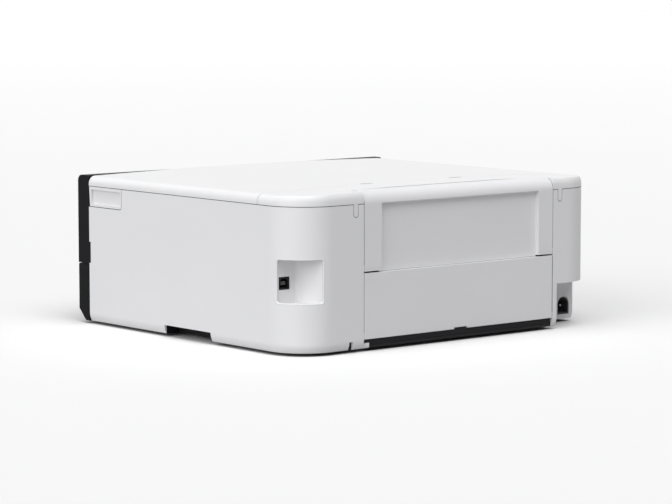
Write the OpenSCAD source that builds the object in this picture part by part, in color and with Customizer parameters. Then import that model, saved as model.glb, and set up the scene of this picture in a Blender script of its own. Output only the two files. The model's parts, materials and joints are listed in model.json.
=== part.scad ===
// Compact all-in-one inkjet printer, built from separate casings, mechanism and electronics.
// Origin: centre of the footprint on the table. +Z up, the front faces -Y. Millimetres.

/* [Body] */
// Width of the casing
body_w = 365; // [360:1:390]
// Depth of the casing with the black front
body_d = 328; // [326:1:350]
// Height of the casing at the middle of the lid
body_h = 142; // [141:0.5:150]
// Plan radius of the two rear corners
corner_r = 39; // [32:1:42]
// Wall thickness of the white covers
wall = 2.5; // [2:0.1:3]
// Gap between neighbouring covers
seam = 0.6; // [0.4:0.1:0.8]
// Height of the rubber feet
foot_h = 3; // [2.5:0.5:4]

/* [Front] */
// Thickness of the black front in depth
front_t = 18; // [17:0.5:20]
// Height of the control panel, from its split with the cassette front up to the lid
panel_h = 85; // [84:0.5:86]
// Radius of the control panel's top front edge
panel_top_r = 6; // [4:0.5:8]
// Radius of the hinge edge at the panel's top rear
panel_hinge_r = 4; // [4:0.2:4.6]
// Rise of the panel's top over the lid's sides
panel_rise = 0.5; // [0:0.1:0.8]

/* [Top] */
// Height of the lid's band down to the parting line
band_h = 11.4; // [11:0.2:14]
// Depth of the fixed top cover behind the lid
rear_top_d = 55.5; // [52:0.5:58]
// Radius along the top edges
top_r = 7; // [5:0.5:8]
// Width of the lid's flat middle, from which it falls to the sides
crown_w = 132; // [120:1:180]
// Skin thickness of the lid
lid_t = 2.2; // [2:0.1:2.6]
// Radius of the lid's rear edge, round about the hinge line
hinge_r = 2.5; // [2.4:0.1:3]
// Diameter of the lid and scanner hinge pins
hinge_pin_d = 2.2; // [1.8:0.1:2.4]

/* [Rear] */
// Width of the rear doors
door_w = 230; // [226:1:234]
// Offset of the rear doors from the centre line
door_shift = -8; // [-10:1:-6]
// Height of the split between the two rear doors
rear_split_z = 70; // [68:0.5:72]
// Depth of the recess in the feed cover
recess_t = 4; // [3:0.2:4.5]
// Thickness of the feed cover's frame
feed_cover_t = 6.5; // [6:0.1:7.5]
// Lower edge of the rear duct cover
duct_cover_z = 11; // [10:0.5:12]

/* [Paper] */
// Width of the widest sheet
sheet_w = 216; // [210:1:216]
// Height from the cassette's rim up to the platen
platen_rise = 24; // [23:0.5:26]
// Space between the cassette and the rear
cassette_gap = 18; // [16:1:24]

/* [Mechanism] */
// Diameter of the paper feed roller
feed_roller_d = 11; // [10:0.5:12]
// Diameter of the steel roller shafts
shaft_d = 6; // [5:0.5:6.4]
// Module of the gear train
gear_m = 1; // [1:0.05:1.05]
// Width of the carriage along the rail
carriage_w = 60; // [60:1:62]
// Width of one ink cartridge
cartridge_w = 12.6; // [12:0.1:12.9]

/* [Hidden] */
$fn = 48;
eps = 0.01;
fit = 0.3;                       // clearance between bodies that move past each other
pin_fit = 0.06;                  // radial clearance of running pins
half_w = body_w / 2;
rear_y = body_d / 2;
front_y = -body_d / 2;
white_y = front_y + front_t;      // front edge of the white covers
front_split_z = body_h - panel_h;
part_z = body_h - band_h;         // parting line under the lid
cover_top = part_z - seam / 2;
band_z = part_z + seam / 2;
side_drop = 2;                    // how much lower the lid is at its sides
seam_y = rear_y - rear_top_d;     // cross seam between lid and fixed top
door_x0 = door_shift - door_w / 2;
door_x1 = door_shift + door_w / 2;
feed_lip = 18;                    // depth of the feed cover's top lip
tab_y = white_y + 52;             // rear end of the lifting grips
tab_h = 18.9;
tab_z = part_z - tab_h;
notch_y0 = -28;
notch_y1 = 41;
notch_h = 8;
grip_roof = 17;
tab_r = 3;
tuck_h = 8;                       // height over which the covers curve in at their lower edge
tuck_in = wall - 0.3;
usb_y = rear_y - 31;
usb_x_in = half_w - 24.5;
usb_x_out = half_w - 31.5;
usb_r = 4;                        // round in the pocket's upright corner
usb_z0 = 45.5;
usb_z1 = 85.3;
usb_x = half_w - 10.5;
usb_z = 63;
usb_w = 12;
usb_h = 11;
usb_fit = 0.2;
inlet_y = rear_y - 33;
inlet_x_in = -half_w + 53.8;
inlet_z1 = 42.6;
inlet_x = -half_w + 12.8;
inlet_z = 15.6;
inlet_w = 14.8;
inlet_h = 16.4;
floor_z0 = foot_h;
floor_t = 3;
floor_z = floor_z0 + floor_t;
pocket_t = 2;
flange_t = 2;
flange_w = 14;

// mechanism layout
hinge_y = seam_y - seam / 2 - hinge_r;   // shared hinge line of lid and scanner
hinge_z = body_h - hinge_r;
pin_l = 22;                       // length of the lid and scanner hinge pins
hinge_x = crown_w / 2 - pin_l / 2 - 1;
ear_w = 6;
lug_w = 4;
scan_h = 28.6;
scan_z0 = part_z - scan_h;
scan_x = half_w - wall - 1;
scan_y0 = white_y + 3.5;
scan_y1 = seam_y - 1;
glass_edge = 31.5;                // from the casing's side to the glass
glass_rim = 28;                   // frame in front of and behind the glass together
glass_w = 2 * (half_w - glass_edge);
glass_d = scan_y1 - scan_y0 - glass_rim;
glass_t = 2.2;
glass_y = (scan_y0 + scan_y1) / 2 - 2;
grip_slant = 1.3;
panel_top = body_h - side_drop + panel_rise;
panel_axis_y = white_y - fit - panel_hinge_r;
panel_axis_z = panel_top - panel_hinge_r;
panel_arm_x = half_w - 17.5;
display_w = 68;
display_h = 38;
panel_z = part_z - 19.6;          // height of the display's middle and the buttons
button_x = [-half_w + 52.5, -display_w / 2 - 26, display_w / 2 + 26, display_w / 2 + 50];
feed_axis_y = rear_y - 2.6;
feed_axis_z = rear_split_z + 3.2;
cassette_z = floor_z + 2;
cassette_x = sheet_w / 2 + 10;
cassette_y1 = rear_y - cassette_gap;
platen_drop = 36;                 // from the scanner's underside down to the platen
platen_z = scan_z0 - platen_drop;
cassette_top = platen_z - platen_rise;
tray_z = front_split_z + 1.2;
tray_x = sheet_w / 2 + 4;
tray_y0 = white_y + 8;
tray_t = 3;

side_room = 32.5;                 // from the frame's side plates to the casing
frame_x = half_w - side_room;     // inner face of the frame's side plates
frame_t = 2;
frame_z0 = floor_z + 20;
frame_z1 = scan_z0 - 2;
rear_room = 92;                   // from the feed roller back to the rear
feed_y = rear_y - rear_room;
frame_y0 = feed_y - 102;
frame_y1 = feed_y + 46;
seat_y = [feed_y - 132, feed_y - 32, feed_y + 28];
platen_t = 6;
head_gap = 3.5;
roller_z = platen_z + 1.5 - feed_roller_d / 2;
teeth_feed = 40;
teeth_idler = 32;
teeth_motor = 16;
teeth_pick = 24;
gear_t = 5;
gear_x1 = -frame_x - frame_t - 1;
gear_x0 = gear_x1 - gear_t;
motor_l = frame_x - cassette_x - 8;   // feed motor, between the frame and the cassette
idler_y = feed_y - gear_m * (teeth_feed + teeth_idler) / 2;
exit_y = feed_y - gear_m * (teeth_feed + teeth_idler);
tray_l = exit_y - tray_y0 - 10;
motor_a = 50;                     // motor gear below and behind the feed gear
motor_y = feed_y + gear_m * (teeth_feed + teeth_motor) / 2 * cos(motor_a);
motor_z = roller_z - gear_m * (teeth_feed + teeth_motor) / 2 * sin(motor_a);
pick_a = 30;
pick_y = motor_y + gear_m * (teeth_motor + teeth_pick) / 2 * cos(pick_a);
pick_z = motor_z + gear_m * (teeth_motor + teeth_pick) / 2 * sin(pick_a);
pick_d = 2 * (pick_z - cassette_top - 0.7);
pinch_d = 7;
pinch_y = feed_y + 1;
pinch_z = platen_z + 1.5 + fit + pinch_d / 2;
pinch_pin = 2.5;
cross_y = feed_y + 4;
rail_d = 8;
rail_y = feed_y - 10;
rail_z = platen_z + 26;
carriage_x = frame_x - 33;                 // parked at the right over the maintenance unit
carriage_y0 = rail_y - 50;
carriage_y1 = rail_y - 10;
carriage_z0 = platen_z + head_gap;
head_x = carriage_x + 5;
head_w = 24;
belt_r = 6;
belt_t = 1.2;
belt_w = 4;
belt_y = rail_y - 5;
belt_z = rail_z - 14.5;
belt_x = frame_x - 12;
board_x = half_w - wall - 2;
lift_x = cassette_x - 22;         // half the lift plate's width
lift_y = feed_y - 24;             // pin of the lift plate
bar_x = -glass_w / 2 + 20;        // scan bar, parked at the left

// ---- shared shapes ----

// Box from one corner to the opposite one
module box(a, b) {
    translate(a) cube([b[0] - a[0], b[1] - a[1], b[2] - a[2]]);
}

// Cylinder along X from x0 to x1
module rod_x(x0, x1, y, z, d, f = 48) {
    translate([x0, y, z]) rotate([0, 90, 0]) cylinder(h = x1 - x0, d = d, $fn = f);
}

// Cylinder along Y from y0 to y1
module rod_y(y0, y1, x, z, d, f = 48) {
    translate([x, y0, z]) rotate([-90, 0, 0]) cylinder(h = y1 - y0, d = d, $fn = f);
}

// Cylinder along Z from z0 to z1
module rod_z(z0, z1, x, y, d, f = 48) {
    translate([x, y, z0]) cylinder(h = z1 - z0, d = d, $fn = f);
}

// Extrudes a profile drawn in Y and Z along X
module along_x(x0, x1) {
    translate([x0, 0, 0]) rotate([90, 0, 90]) linear_extrude(x1 - x0) children();
}

// Extrudes a profile drawn in X and Z along Y
module along_y(y0, y1) {
    translate([0, y1, 0]) rotate([90, 0, 0]) linear_extrude(y1 - y0) children();
}

// Plan of the white casing, with round rear corners
module plan(inset = 0, y0 = white_y) {
    r = corner_r - inset;
    x = half_w - inset;
    y = rear_y - inset;
    translate([-x, y0]) square([2 * x, y - r - y0]);
    translate([-x + r, y0]) square([2 * (x - r), y - y0]);
    for (s = [-1, 1]) translate([s * (x - r), y - r]) circle(r = r, $fn = 96);
}

// Upright shell of the casing between two heights
module shell(z0, z1) {
    translate([0, 0, z0]) linear_extrude(z1 - z0) difference() {
        plan();
        plan(wall, white_y - 1);
    }
}

// Profile of the top's cross-section: crowned in the middle, round at the sides
module crown(inset = 0) {
    x = half_w - inset;
    z = body_h - inset;
    r = top_r - inset;
    polygon(concat(
        [[-x, band_z - 20], [x, band_z - 20]],
        [for (a = [0:15:75]) [x - r + r * cos(a), z - side_drop - r + r * sin(a)]],
        [[x - r, z - side_drop], [crown_w / 2, z], [-crown_w / 2, z], [-x + r, z - side_drop]],
        [for (a = [105:15:180]) [-x + r + r * cos(a), z - side_drop - r + r * sin(a)]]));
}

// Round-ended slot profile, standing
module slot(x, z0, z1, w) {
    translate([x - w / 2, z0 + w / 2]) square([w, z1 - z0 - w / 2]);
    translate([x, z0 + w / 2]) circle(d = w);
}

// Screw boss under a cover, with a blind pilot hole
module boss(x, y, z0, z1, d = 7, hole = 2.4) {
    difference() {
        rod_z(z0, z1, x, y, d);
        rod_z(z0 + 2, z1 + 1, x, y, hole);
    }
}

// Involute point at radius rr on a base circle rb
function inv_angle(rb, rr) = let (t = acos(min(1, rb / rr))) tan(t) * 180 / PI - t;

// Outline of a spur gear with slack between the teeth
function gear_points(n, m, slack = 0.12) =
    let (rp = m * n / 2, rb = rp * cos(20), ro = rp + 0.92 * m, ri = rp - 1.2 * m,
         half = 90 / n - slack / rp * 90 / PI, base = half + inv_angle(rb, rp),
         r0 = max(rb, ri), rs = [for (i = [0:4]) r0 + (ro - r0) * i / 4])
    [for (k = [0:n - 1]) each concat(
        [let (a = k * 360 / n - base) [ri * cos(a), ri * sin(a)]],
        [for (r = rs) let (a = k * 360 / n - base + inv_angle(rb, r)) [r * cos(a), r * sin(a)]],
        [for (i = [4:-1:0]) let (r = rs[i], a = k * 360 / n + base - inv_angle(rb, r))
            [r * cos(a), r * sin(a)]],
        [let (a = k * 360 / n + base) [ri * cos(a), ri * sin(a)]])];

// Spur gear along X at a place, turned so that it meshes
module gear_x(n, x0, x1, y, z, bore, turn = 0) {
    translate([x0, y, z]) rotate([0, 90, 0]) rotate([0, 0, turn])
        linear_extrude(x1 - x0) difference() {
            polygon(gear_points(n, gear_m));
            circle(d = bore);
        }
}

// ---- casing ----

module base() color("#1c1c1e") difference() {
    union() {
        translate([0, 0, floor_z0]) linear_extrude(floor_t) plan(wall + fit, white_y);
        translate([0, 0, floor_z - eps]) linear_extrude(11) difference() {
            plan(wall + fit, white_y);
            plan(wall + fit + 2, white_y - 1);
        }
        for (s = [-1, 1]) {
            // wall and runner that guide the cassette
            x0 = s * (cassette_x + fit);
            box([min(x0, x0 + s * 3), white_y + 6, floor_z - eps],
                [max(x0, x0 + s * 3), rear_y - 40, cassette_z + 18]);
            box([min(x0, x0 - s * 5), white_y + 6, floor_z - eps],
                [max(x0, x0 - s * 5), rear_y - 40, cassette_z - fit]);
            // box round the finger grip
            g0 = s * (half_w - 20);
            g1 = s * (half_w - wall - fit - 1);
            box([min(g0, g1), notch_y0 - 2, floor_z - eps], [max(g0, g1), notch_y1 + 2, grip_roof]);
            // seats of the mechanism frame
            for (y = seat_y) boss(s * (frame_x + 11), y, floor_z - eps, frame_z0);
        }
        // low sill under the duct cover
        box([door_x0 + 6, rear_y - wall - 3, floor_z0],
            [door_x1 - 6, rear_y - wall - 0.6, duct_cover_z - 1.2]);
        box([door_x0 + 6, rear_y - wall - 3, floor_z0], [door_x1 - 6, rear_y - wall + 0.6, floor_z0 + 2.4]);
    }
    box([-half_w, inlet_y - pocket_t - fit, 0], [inlet_x_in + pocket_t + fit, rear_y + 1, 60]);
    box([door_x1 - 7 - fit, rear_y - 10 - fit, 0], [door_x1 + 6 + fit, rear_y, floor_z0 + 5]);
    for (x = [door_x0 - flange_t - 1, door_x1]) box([x, rear_y - flange_w - fit, floor_z + 1],
        [x + flange_t + 1, rear_y, 20]);
    for (s = [-1, 1]) box([s > 0 ? half_w - 17 : -half_w, notch_y0, 0],
        [s > 0 ? half_w : -half_w + 17, notch_y1, grip_roof - 2]);
    for (x = [-100:20:100]) box([x - 1.5, feed_y - 12, floor_z0 - 1], [x + 1.5, feed_y + 28, floor_z + 1]);
    box([-cassette_x - 4, white_y - 1, floor_z], [cassette_x + 4, white_y + 5, cassette_z + 22]);
}

module rubber_feet() color("#303032")
    for (p = [[-half_w + 32.5, front_y + 39], [half_w - 32.5, front_y + 39],
            [-half_w + 62.5, rear_y - 39], [half_w - 32.5, rear_y - 46]])
        translate([p[0], p[1], 0]) cylinder(h = foot_h, d1 = 15, d2 = 16, $fn = 48);

module right_cover() color("#ededee") difference() {
    union() {
        intersection() {
            shell(floor_z0, cover_top);
            box([door_x1 + seam / 2, white_y, 0], [half_w + 1, rear_y + 1, body_h]);
        }
        // pocket round the USB socket
        intersection() {
            translate([0, 0, usb_z0 - pocket_t]) linear_extrude(usb_z1 - usb_z0 + 2 * pocket_t) plan();
            usb_prism(pocket_t);
        }
        // flange beside the rear doors, and the foot under their corner
        box([door_x1 + seam / 2, rear_y - flange_w, floor_z0 + 12],
            [door_x1 + seam / 2 + flange_t, rear_y - 1, cover_top]);
        box([door_x1 - 7, rear_y - 10, floor_z0], [door_x1 + 6, rear_y - 1.5, floor_z0 + 4.6]);
        box([half_w - wall - 4, white_y + 36, 20], [half_w - wall + eps, white_y + 38, 60]);
    }
    usb_prism(0);
    box([usb_x - usb_w / 2 - usb_fit, usb_y - pocket_t - 1, usb_z - usb_h / 2 - usb_fit],
        [usb_x + usb_w / 2 + usb_fit, usb_y + 1, usb_z + usb_h / 2 + usb_fit]);
    side_cuts(1);
    lower_round();
    along_y(rear_y - wall - 0.2, rear_y + 1) slot(door_x1 + 9.5, part_z - 11.6, part_z + 1, 5.8);
    along_y(rear_y - wall - 0.5, rear_y + 1) slot(door_x1 + 15, -1, 10, 4);
    rod_x(door_x1 - 1, door_x1 + 4, feed_axis_y, feed_axis_z, 3.2);
}

// Upright prism of the socket pocket, grown by the pocket's wall
module usb_prism(g) {
    dx = usb_x_in - usb_x_out;
    dy = rear_y + 2 - usb_y + g;
    r = usb_r + g;
    x = usb_x_in - g + r * (norm([dx, dy]) - dx) / dy;
    lean = atan(dx / dy);
    along_z(usb_z0 - g, usb_z1 + g) polygon(concat([[half_w + 2, usb_y - g], [half_w + 2, rear_y + 2],
        [usb_x_out - g, rear_y + 2]], [for (i = [0:5]) let (a = 180 + lean + i * (90 - lean) / 5)
        [x + r * cos(a), usb_y - g + r + r * sin(a)]]));
}

// Extrudes a profile drawn in X and Y along Z
module along_z(z0, z1) {
    translate([0, 0, z0]) linear_extrude(z1 - z0) children();
}

// Grip notch, lifting-tab notch and latch notch in a side cover
module side_cuts(s) {
    x0 = s > 0 ? half_w - wall - 5 : -half_w - 1;
    x1 = s > 0 ? half_w + 1 : -half_w + wall + 5;
    box([x0, notch_y0, floor_z0 - 1], [x1, notch_y1, floor_z0 + notch_h]);
    along_x(x0, x1) tab_outline(seam);
    box([x0, white_y - 1, front_split_z + 1], [x1, white_y + 2.2, front_split_z + 21]);
}

// Outline of the lifting grip in Y and Z, round at its lower rear corner
module tab_outline(grow) {
    y1 = tab_y + grow;
    z0 = tab_z - grow;
    r = tab_r + grow;
    translate([white_y - 1, z0 + r]) square([y1 - white_y + 1, body_h - z0 - r]);
    translate([white_y - 1, z0]) square([y1 - r - white_y + 1, r + 1]);
    translate([y1 - r, z0 + r]) circle(r = r);
}

// What is cut away along the covers' lower edge to make it round
module lower_round() {
    x = half_w - corner_r;
    y = rear_y - corner_r;
    for (s = [-1, 1]) {
        along_y(white_y - 1, y) translate([s * half_w, floor_z0]) scale([s, 1]) round_cut();
        intersection() {
            translate([s * x, y, floor_z0]) rotate_extrude($fn = 96) translate([corner_r, 0]) round_cut();
            box([s > 0 ? x : -half_w - 1, y, floor_z0 - 1],
                [s > 0 ? half_w + 1 : -x, rear_y + 1, floor_z0 + tuck_h]);
        }
    }
    along_x(-x, x) translate([rear_y, floor_z0]) round_cut();
}

// Corner between a square and the long curve inside it
module round_cut() difference() {
    r = (pow(tuck_h, 2) + pow(tuck_in, 2)) / (2 * tuck_in);
    translate([-tuck_in, -1]) square([tuck_in + 1, tuck_h + 1]);
    translate([-r, tuck_h]) circle(r = r, $fn = 192);
}

module left_cover() color("#ededee") {
    difference() {
        union() {
            intersection() {
                shell(floor_z0, cover_top);
                box([-half_w - 1, white_y, 0], [door_x0 - seam / 2, rear_y + 1, body_h]);
            }
            intersection() {
                translate([0, 0, floor_z0]) linear_extrude(inlet_z1 - floor_z0 + pocket_t) plan();
                box([-half_w - 1, inlet_y - pocket_t, floor_z0],
                    [inlet_x_in + pocket_t, rear_y + 1, inlet_z1 + pocket_t]);
            }
            box([door_x0 - seam / 2 - flange_t, rear_y - flange_w, floor_z0 + 12],
                [door_x0 - seam / 2, rear_y - 1, cover_top]);
            box([-half_w + wall - eps, white_y + 36, 20], [-half_w + wall + 4, white_y + 38, 60]);
        }
        box([-half_w - 1, inlet_y, -1], [inlet_x_in, rear_y + 1, inlet_z1]);
        along_y(inlet_y - pocket_t - 1, inlet_y + 1) d_shape(0.15);
        side_cuts(-1);
        lower_round();
        along_y(rear_y - wall - 0.2, rear_y + 1) slot(door_x0 - 9, part_z - 11.6, part_z + 1, 5.8);
        rod_x(door_x0 - 4, door_x0 + 1, feed_axis_y, feed_axis_z, 3.2);
    }
}

// Round-topped outline of the mains inlet
module d_shape(grow = 0) {
    w = inlet_w / 2 + grow;
    z0 = inlet_z - inlet_h / 2 - grow;
    z1 = inlet_z + inlet_h / 2 + grow;
    r = 7;
    translate([inlet_x - w, z0]) square([2 * w, z1 - z0 - r]);
    translate([inlet_x - w + r, z0]) square([2 * (w - r), z1 - z0]);
    for (s = [-1, 1]) translate([inlet_x + s * (w - r), z1 - r]) circle(r = r);
}

module rear_top_cover() color("#efeff0") {
    difference() {
        intersection() {
            top_block();
            union() {
                box([-half_w, seam_y + seam / 2, band_z - 12],
                    [half_w, rear_y - feed_lip - seam, body_h + 1]);
                box([-half_w, rear_y - feed_lip - seam - 1, band_z - 12],
                    [door_x0 - seam / 2, rear_y, body_h + 1]);
                box([door_x1 + seam / 2, rear_y - feed_lip - seam - 1, band_z - 12],
                    [half_w, rear_y, body_h + 1]);
            }
        }
        // hollow underside
        difference() {
            translate([0, 0, 100]) linear_extrude(body_h - side_drop - lid_t - 100) difference() {
                plan(wall, seam_y + seam / 2 + wall);
                translate([door_x0 - wall - seam, rear_y - feed_lip - seam - wall])
                    square([door_w + 2 * wall + 2 * seam, 40]);
            }
        }
    }
    for (x = [door_x1 + 9.5, door_x0 - 9])
        along_y(rear_y - wall, rear_y) slot(x, part_z - 11, band_z + 0.5, 4.8);
}

// Solid of the top band: the crowned profile over the rounded plan
module top_block() {
    intersection() {
        translate([0, 0, band_z]) linear_extrude(20) plan();
        along_y(white_y, rear_y) crown();
        hull() for (z = [[band_z - 1, 0], [body_h - top_r, 0], [body_h - top_r * 0.5, 0.134 * top_r],
                [body_h - top_r * 0.134, 0.5 * top_r], [body_h + eps, top_r]])
            translate([0, 0, z[0]]) linear_extrude(eps) plan(z[1], white_y);
    }
}

module document_lid() color("#f1f1f2") difference() {
    intersection() {
        top_block();
        along_x(-half_w, half_w) {
            translate([white_y, band_z]) square([hinge_y - white_y, 20]);
            translate([white_y, band_z]) square([seam_y - seam / 2 - white_y, hinge_z - band_z]);
            translate([hinge_y, hinge_z]) circle(r = hinge_r);
        }
    }
    box([-half_w + wall, white_y + wall, band_z - 1],
        [half_w - wall, seam_y - 13, body_h - side_drop - lid_t]);
    for (s = [-1, 1]) {
        box([s * hinge_x - ear_w / 2 - lug_w - 0.6, hinge_y - hinge_r - 0.3, band_z - 1],
            [s * hinge_x + ear_w / 2 + lug_w + 0.6, seam_y + 1, body_h + 1]);
        rod_x(s * hinge_x - pin_l / 2 - 0.5, s * hinge_x + pin_l / 2 + 0.5, hinge_y, hinge_z,
            hinge_pin_d + 2 * pin_fit);
    }
}

module lid_pad() color("#fafafa")
    box([-half_w + glass_edge, white_y + wall + 13, band_z + 0.4],
        [half_w - glass_edge, seam_y - 21, body_h - side_drop - lid_t]);

module hinge_pins() color("#b8b8bc")
    for (s = [-1, 1])
        rod_x(s * hinge_x - pin_l / 2, s * hinge_x + pin_l / 2, hinge_y, hinge_z, hinge_pin_d);

// ---- scanner ----

module scanner_frame() color("#e6e6e8") difference() {
    union() {
        box([-scan_x, scan_y0, scan_z0 + 3], [scan_x, scan_y1, part_z]);
        for (s = [-1, 1]) {
            grip(s);
            // lugs of the shared hinge line
            for (o = [-1, 1]) {
                x = s * hinge_x + o * (ear_w / 2 + fit + lug_w / 2);
                box([x - lug_w / 2, hinge_y - 2.2, part_z - 3], [x + lug_w / 2, hinge_y + 1.7, hinge_z]);
                rod_x(x - lug_w / 2, x + lug_w / 2, hinge_y, hinge_z, 4.4);
            }
        }
    }
    box([-scan_x + 3, scan_y0 + 3, scan_z0 + 2], [scan_x - 3, scan_y1 - 12, part_z - 3]);
    box([-glass_w / 2 + 5, glass_y - glass_d / 2 + 5, part_z - 4],
        [glass_w / 2 - 5, glass_y + glass_d / 2 - 5, part_z + 1]);
    box([-glass_w / 2 - 0.1, glass_y - glass_d / 2 - 0.1, part_z - glass_t],
        [glass_w / 2 + 0.1, glass_y + glass_d / 2 + 0.1, part_z + 1]);
    // lowered strip under the rear edge of the lid, round the lugs
    for (r = [[-scan_x - 1, -hinge_x - 7.4], [-hinge_x + 7.4, hinge_x - 7.4], [hinge_x + 7.4, scan_x + 1]])
        box([r[0], seam_y - 11, part_z - 1.2], [r[1], seam_y, part_z + 1]);
    for (s = [-1, 1]) {
        box([s * hinge_x - ear_w / 2 - fit, hinge_y - 3.2, scan_z0 - 1],
            [s * hinge_x + ear_w / 2 + fit, seam_y, body_h]);
        rod_x(s * hinge_x - pin_l / 2, s * hinge_x + pin_l / 2, hinge_y, hinge_z, hinge_pin_d);
    }
}

// Lifting grip: a tab that fills the notch in a side cover, with a finger hollow
module grip(s) {
    xo = half_w - 0.1;
    difference() {
        along_x(s > 0 ? xo - 6 : -xo, s > 0 ? xo : -xo + 6) intersection() {
            tab_outline(0);
            polygon([[white_y + 0.3 + grip_slant, tab_z], [tab_y, tab_z],
                [tab_y, cover_top], [white_y + 0.3, cover_top]]);
        }
        along_x(s > 0 ? xo - 2.6 : -xo - 1, s > 0 ? xo + 1 : -xo + 2.6)
            polygon([[white_y + 3.4, tab_z + 2.4], [tab_y - 2.2, tab_z + 2.4],
                [tab_y - 2.2, cover_top - 2.8], [white_y + 3, cover_top - 2.8]]);
    }
}

module scanner_bottom() color("#3a3a3d") difference() {
    box([-scan_x + 0.5, scan_y0 + 0.5, scan_z0], [scan_x - 0.5, scan_y1 - 9, scan_z0 + 3]);
    for (x = [-scan_x + 39:40:scan_x - 39]) box([x - 10, scan_y0 + 12.5, scan_z0 - 1],
        [x + 10, scan_y0 + 22.5, scan_z0 + 4]);
}

module scanner_glass() color([0.75, 0.85, 0.85, 0.45])
    box([-glass_w / 2, glass_y - glass_d / 2, part_z - glass_t],
        [glass_w / 2, glass_y + glass_d / 2, part_z]);

module scan_carriage() color("#202023") difference() {
    union() {
        box([bar_x - 9, glass_y - glass_d / 2 + 8, scan_z0 + 14],
            [bar_x + 9, glass_y + glass_d / 2 - 8, part_z - 3.6]);
        box([bar_x - 11, glass_y - 18, scan_z0 + 5], [bar_x + 11, glass_y + 18, scan_z0 + 15]);
    }
    rod_x(bar_x - 12, bar_x + 12, glass_y, scan_z0 + 10, 6 + 2 * pin_fit);
}

module scan_rod() color("#c9c9cd") {
    rod_x(-scan_x + 3, scan_x - 3, glass_y, scan_z0 + 10, 6);
}

// ---- rear ----

module feed_cover() color("#e9e9ea") {
    x0 = door_x0 + seam / 2;
    x1 = door_x1 - seam / 2;
    y_in = rear_y - feed_cover_t;
    r = 11;
    difference() {
        along_x(x0, x1) {
            // upright wall, rounded over into the top lip
            translate([y_in, rear_split_z + 1])
                square([feed_cover_t, body_h - side_drop / 4 - r - rear_split_z - 1]);
            intersection() {
                translate([rear_y - r, body_h - side_drop / 4 - r]) difference() {
                    circle(r = r, $fn = 96);
                    circle(r = r - 2.6, $fn = 96);
                }
                translate([rear_y - r, body_h - side_drop / 4 - r]) square([r, r]);
            }
            translate([rear_y - feed_lip, body_h - side_drop / 4 - 2.6]) square([feed_lip - r + eps, 2.6]);
            translate([y_in, body_h - side_drop / 4 - r - 4]) square([feed_cover_t - 2, 4.5]);
        }
        box([x0 + 17.8, rear_y - recess_t, rear_split_z - 1], [x1 - 20, rear_y + 1, part_z]);
        // slots that guide the edge guides
        box([x0 + 12, y_in - 1, rear_split_z + 18], [x1 - 12, y_in + 1.2, rear_split_z + 21.2]);
        // fine lines across the feet of the frame
        for (x = [x0 - 1, x1 - 20]) box([x, rear_y - 0.4, rear_split_z + 3],
            [x + 21, rear_y + 1, rear_split_z + 3.4]);
    }
    box([x0 + 17.8, y_in, rear_split_z - 0.2], [x1 - 20, rear_y - recess_t, rear_split_z + 1 + eps]);
    for (x = [x0 - 2, x1 - 0.5]) rod_x(x, x + 2.5, feed_axis_y, feed_axis_z, 3);
}

// Edge guide of the rear feed; side s is -1 or 1
module feed_guide(s) {
    x = door_shift + s * (sheet_w / 2 - 20);
    y_in = rear_y - feed_cover_t;
    z = rear_split_z + 18.3;
    box([x - (s > 0 ? 16 : 0), y_in - 1.8, z - 8.3], [x + (s > 0 ? 0 : 16), y_in - fit, z + 23.7]);
    box([x - (s > 0 ? 1.8 : 0), y_in - 10, z - 8.3], [x + (s > 0 ? 0 : 1.8), y_in - 1.7, z + 29.7]);
    box([x - (s > 0 ? 14 : -2), y_in - 0.5, z], [x + (s > 0 ? -2 : 14), y_in + 0.9, z + 2.6]);
}
module feed_guide_left() color("#e2e2e4") feed_guide(-1);
module feed_guide_right() color("#e2e2e4") feed_guide(1);

module duct_cover() color("#eaeaeb") {
    x0 = door_x0 + seam / 2;
    x1 = door_x1 - seam / 2;
    difference() {
        union() {
            box([x0, rear_y - wall, duct_cover_z], [x1, rear_y, rear_split_z - 0.5]);
            // shelf under the recess of the feed cover
            box([x0 + 17.8, rear_y - recess_t - 1.2, rear_split_z - 2.5],
                [x1 - 20, rear_y - wall + eps, rear_split_z - 0.5]);
            // curved ribs that turn the paper
            for (x = [x0 + 15:20:x1 - 15]) along_x(x, x + 2) difference() {
                translate([rear_y - 15, rear_split_z - 50]) square([15 - wall + eps, 40]);
                translate([rear_y - 30, rear_split_z - 30]) circle(r = 21, $fn = 96);
            }
        }
        box([door_shift - 8, rear_y - wall - 1, duct_cover_z - 1],
            [door_shift + 8, rear_y + 1, duct_cover_z + 1.6]);
    }
}

// ---- front ----

module front_frame() color("#2a2a2c") {
    difference() {
        box([-half_w + wall + 4.6, white_y + 2.4, floor_z],
            [half_w - wall - 4.6, white_y + 5.4, scan_z0 - 1]);
        box([-cassette_x - 8, white_y, -1], [cassette_x + 8, white_y + 6, scan_z0 - 22]);
    }
    for (s = [-1, 1]) {
        // shelf and guide of the output tray
        x0 = s * (tray_x - 4);
        x1 = s * (cassette_x + 8);
        box([min(x0, x1), white_y + 2.4, tray_z - 3.7], [max(x0, x1), tray_y0 + tray_l, tray_z - fit]);
        x2 = s * (tray_x + fit);
        box([min(x2, x2 + s * 2), white_y + 2.4, tray_z - fit - eps],
            [max(x2, x2 + s * 2), tray_y0 + tray_l, tray_z + 4]);
        // arms that carry the control panel
        box([s * panel_arm_x - 4, panel_axis_y - 1.8, scan_z0 - 14],
            [s * panel_arm_x + 4, white_y + 2.5, scan_z0 - 8]);
        difference() {
            union() {
                box([s * panel_arm_x - 4, panel_axis_y - 1.8, scan_z0 - 14],
                    [s * panel_arm_x + 4, panel_axis_y + 1.8, panel_axis_z]);
                rod_x(s * panel_arm_x - 4, s * panel_arm_x + 4, panel_axis_y, panel_axis_z, 4.8);
            }
            rod_x(s * panel_arm_x - 5, s * panel_arm_x + 5, panel_axis_y, panel_axis_z, 2.4 + 2 * pin_fit);
        }
    }
}

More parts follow.
